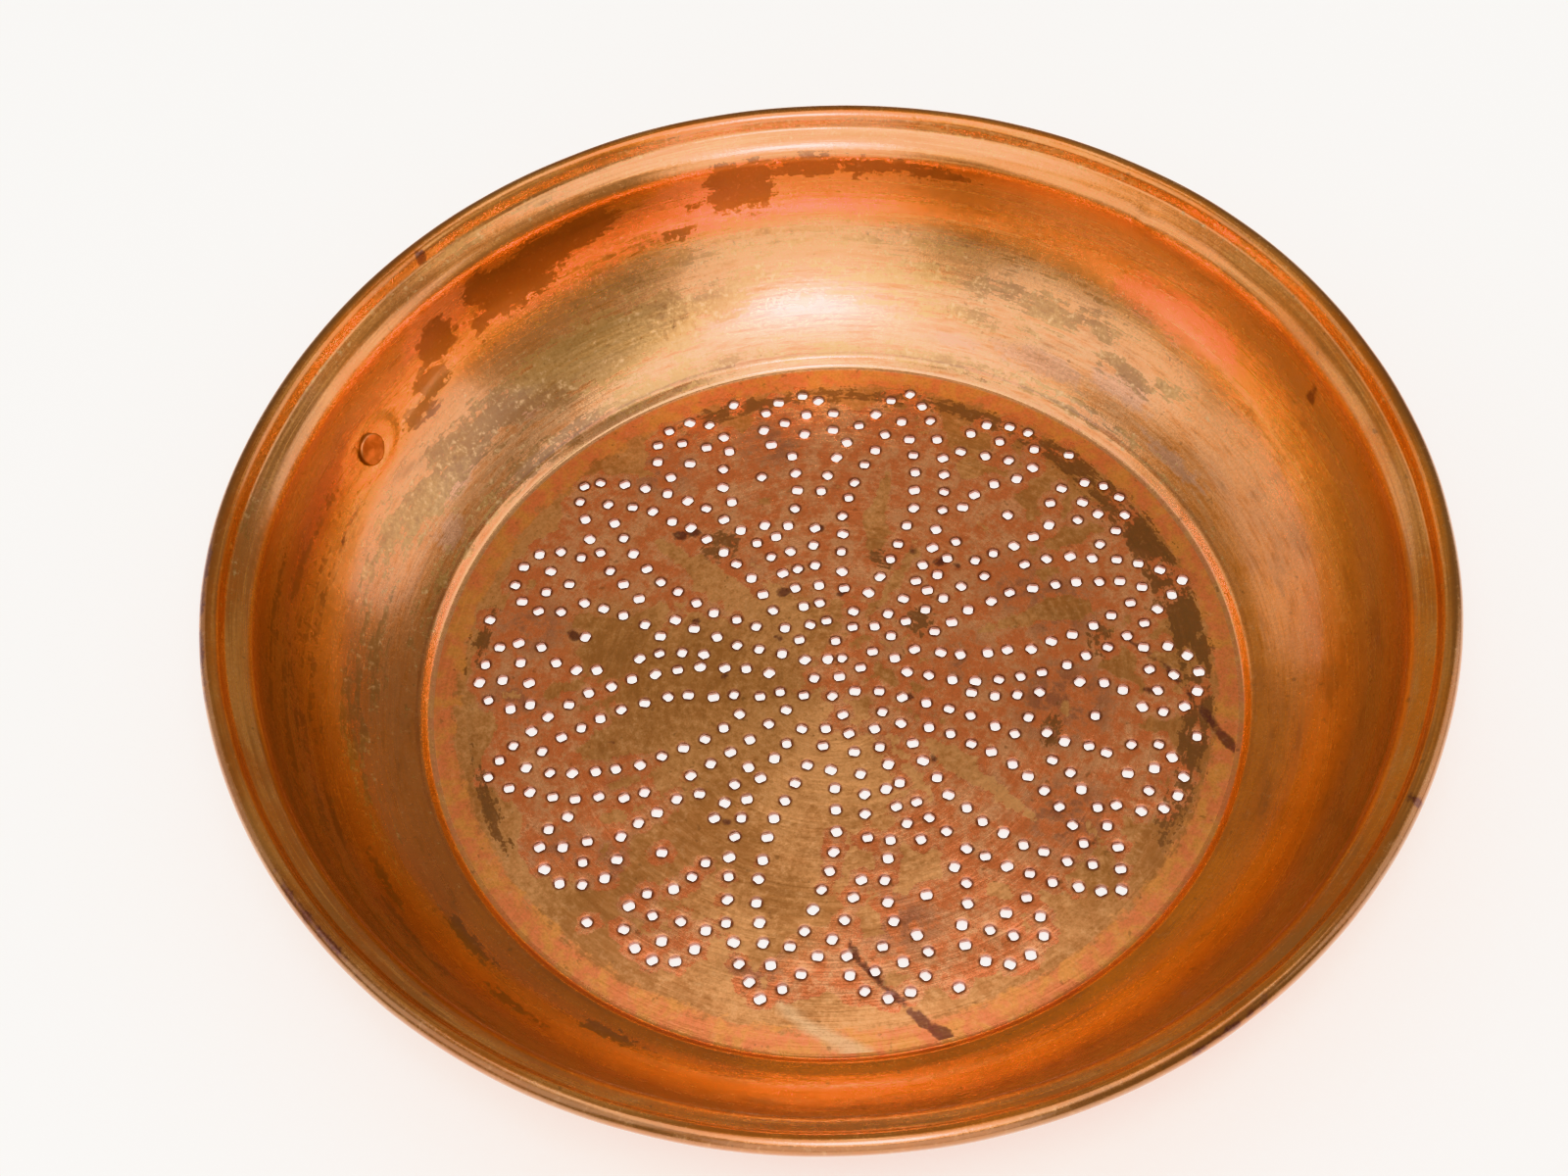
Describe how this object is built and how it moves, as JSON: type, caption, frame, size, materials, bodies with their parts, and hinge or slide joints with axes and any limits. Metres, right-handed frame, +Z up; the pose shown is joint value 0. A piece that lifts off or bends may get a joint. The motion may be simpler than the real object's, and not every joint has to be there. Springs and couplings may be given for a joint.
{
  "type": "copper colander",
  "caption": "Shallow round copper strainer bowl with a wired rim, a pierced leaf-pattern floor and a hanging ring on the side.",
  "frame": {"origin": "on the bowl's axis, at the underside of the floor", "axes": "+Z up along the bowl's axis; -X towards the rivet, plate and hanging ring; Y along the ring's hinge"},
  "size_m": [0.32, 0.32, 0.0597],
  "materials": {
    "copper_floor": "worn copper, salmon red with olive-brown patina and darker halos round the holes",
    "copper_wall": "satin copper with brushed rings and warm brown patina",
    "copper_rivet": "dark brown oxidised copper, soft polished edges",
    "brass_ring": "aged satin brass",
    "iron_wire": "black iron wire"
  },
  "bodies": {
    "bowl": {"bowl_floor": "copper_floor", "bowl_wall": "copper_wall", "rim_wire": "iron_wire", "eye_rivet": "copper_rivet", "hanger_plate": "copper_rivet"},
    "ring": {"hanging_ring": "brass_ring"}
  },
  "joints": [
    {"name": "ring_swing", "type": "hinge", "parent": "bowl", "child": "ring", "pos_m": [-0.14705, 0, 0.02654], "axis": [0, 1, 0], "range_deg": [-45, 170]}
  ]
}
